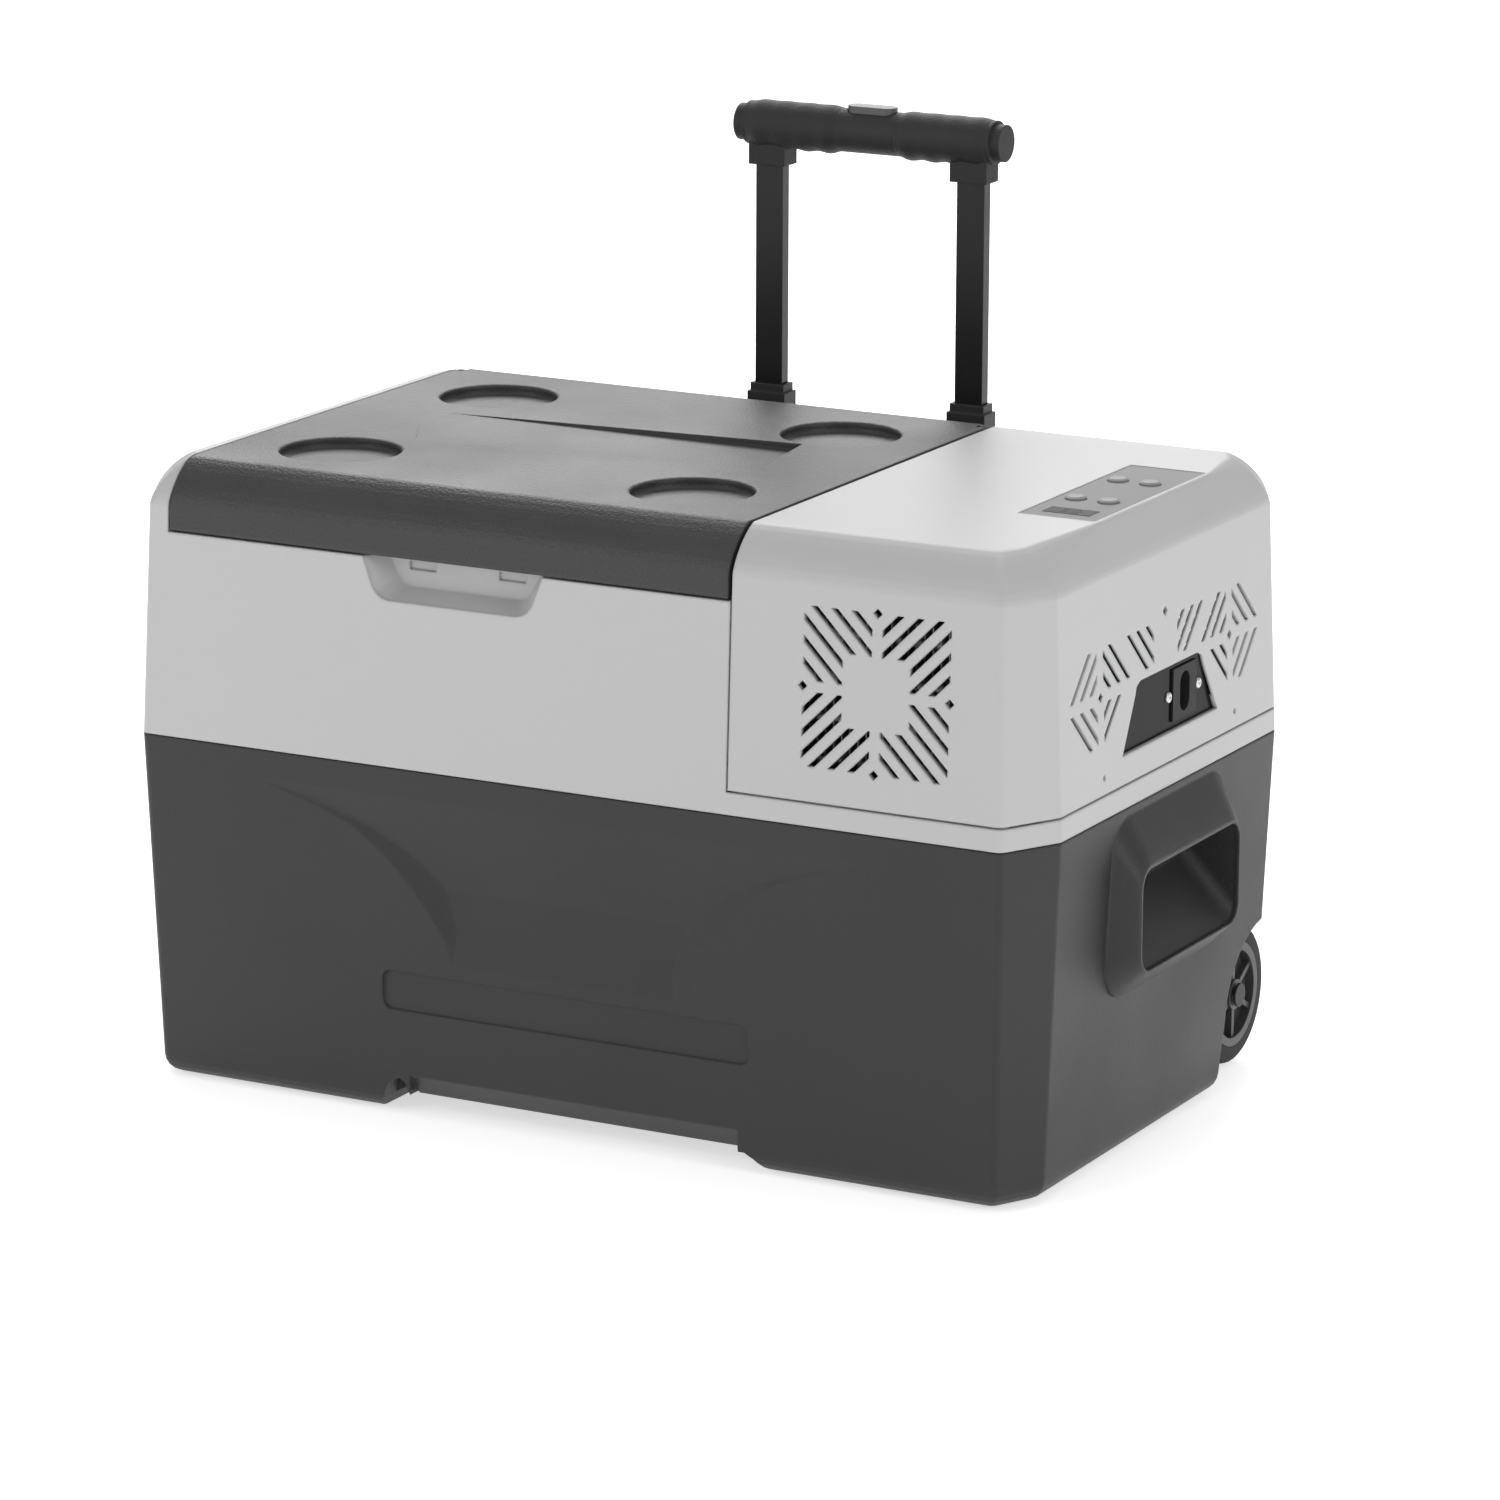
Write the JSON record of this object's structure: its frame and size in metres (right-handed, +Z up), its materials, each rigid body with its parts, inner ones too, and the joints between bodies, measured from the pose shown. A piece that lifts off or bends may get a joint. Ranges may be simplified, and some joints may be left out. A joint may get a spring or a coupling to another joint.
{
  "type": "compressor cooler fridge",
  "caption": "Portable compressor cooler with a hinged insulated lid, moulded cup recesses, vented end cover, side grips, wheels and a telescopic trolley handle.",
  "frame": {"origin": "on the floor, at the centre of the four foot pads and under the middle of the body", "axes": "+X towards the compressor end, -Y to the front with the finger notch, +Z up"},
  "size_m": [0.6122, 0.392, 0.5395],
  "materials": {
    "base_plastic": "fine moulded texture",
    "shell_plastic": "fine satin texture",
    "lid_plastic": "moulded leather-like texture",
    "liner_plastic": "smooth satin",
    "insulation_foam": "expanded foam",
    "copper_tube": "drawn tube",
    "lamp_lens": "frosted",
    "galvanised_sheet": "galvanised",
    "compressor_enamel": "gloss enamel",
    "rubber": "moulded",
    "fastener_steel": "zinc plated",
    "condenser_alu": "pressed fins",
    "fan_plastic": "satin",
    "circuit_board": "solder mask",
    "panel_overlay": "satin printed overlay",
    "display_lens": "dark lens",
    "button_plastic": "satin",
    "inlet_gloss": "polished",
    "socket_plastic": "satin",
    "pin_brass": "plated",
    "gasket_rubber": "soft lip",
    "tube_enamel": "satin powder coat",
    "trolley_plastic": "fine texture",
    "grip_plastic": "soft grain",
    "release_plastic": "satin",
    "axle_steel": "turned",
    "tyre_rubber": "ribbed tread",
    "hub_plastic": "satin"
  },
  "bodies": {
    "cabinet": {"base_shell": "base_plastic", "upper_shell": "shell_plastic", "compressor_cover": "shell_plastic", "hinge_cowl": "lid_plastic", "tub_liner": "liner_plastic", "tub_insulation": "insulation_foam", "evaporator_coil": "copper_tube", "interior_lamp": "lamp_lens", "bay_partition": "galvanised_sheet", "bay_chassis": "galvanised_sheet", "compressor": "compressor_enamel", "compressor_grommets": "rubber", "compressor_bolts": "fastener_steel", "condenser": "condenser_alu", "fan_shroud": "fan_plastic", "filter_drier": "copper_tube", "refrigerant_lines": "copper_tube", "mains_converter": "circuit_board", "control_board": "circuit_board", "control_panel": "panel_overlay", "display_window": "display_lens", "inlet_panel": "inlet_gloss", "mains_inlet": "socket_plastic", "inlet_pins": "pin_brass", "inlet_screws": "fastener_steel", "cover_screws": "fastener_steel", "hinge_pins": "axle_steel", "trolley_tubes": "tube_enamel", "tube_collars": "trolley_plastic", "trolley_brackets": "trolley_plastic", "bracket_screws": "fastener_steel", "wheel_guards": "trolley_plastic", "wheel_axles": "axle_steel", "axle_caps": "trolley_plastic", "foot_pads": "rubber"},
    "lid": {"lid_outer": "lid_plastic", "lid_inner": "liner_plastic", "lid_foam": "insulation_foam", "lid_gasket": "gasket_rubber"},
    "fan": {"fan_rotor": "fan_plastic"},
    "power_key": {"button_power": "button_plastic"},
    "mode_key": {"button_mode": "button_plastic"},
    "up_key": {"button_up": "button_plastic"},
    "down_key": {"button_down": "button_plastic"},
    "handle": {"handle_pole_left": "tube_enamel", "handle_pole_right": "tube_enamel", "handle_grip": "grip_plastic"},
    "handle_release": {"handle_release_button": "release_plastic"},
    "left_wheel": {"left_tyre": "tyre_rubber", "left_wheel_hub": "hub_plastic"},
    "right_wheel": {"right_tyre": "tyre_rubber", "right_wheel_hub": "hub_plastic"}
  },
  "joints": [
    {"name": "lid_hinge", "type": "hinge", "parent": "cabinet", "child": "lid", "pos_m": [0, 0.1515, 0.359], "axis": [-1, 0, 0], "range_deg": [0, 90]},
    {"name": "handle_slide", "type": "slide", "parent": "cabinet", "child": "handle", "axis": [0, 0, -1], "range_m": [-0.1, 0.132]},
    {"name": "handle_release_press", "type": "slide", "parent": "handle", "child": "handle_release", "axis": [0, 0, -1], "range_m": [0, 0.0022], "stiffness_N_per_m": 500},
    {"name": "left_wheel_spin", "type": "hinge", "parent": "cabinet", "child": "left_wheel", "pos_m": [-0.258, 0.147, 0.044], "axis": [1, 0, 0], "continuous": true},
    {"name": "right_wheel_spin", "type": "hinge", "parent": "cabinet", "child": "right_wheel", "pos_m": [0.258, 0.147, 0.044], "axis": [1, 0, 0], "continuous": true},
    {"name": "fan_spin", "type": "hinge", "parent": "cabinet", "child": "fan", "pos_m": [0.196, -0.118, 0.262], "axis": [0, 1, 0], "continuous": true},
    {"name": "power_press", "type": "slide", "parent": "cabinet", "child": "power_key", "axis": [0, 0, -1], "range_m": [0, 0.0008], "stiffness_N_per_m": 900},
    {"name": "mode_press", "type": "slide", "parent": "cabinet", "child": "mode_key", "axis": [0, 0, -1], "range_m": [0, 0.0008], "stiffness_N_per_m": 900},
    {"name": "up_press", "type": "slide", "parent": "cabinet", "child": "up_key", "axis": [0, 0, -1], "range_m": [0, 0.0008], "stiffness_N_per_m": 900},
    {"name": "down_press", "type": "slide", "parent": "cabinet", "child": "down_key", "axis": [0, 0, -1], "range_m": [0, 0.0008], "stiffness_N_per_m": 900}
  ]
}
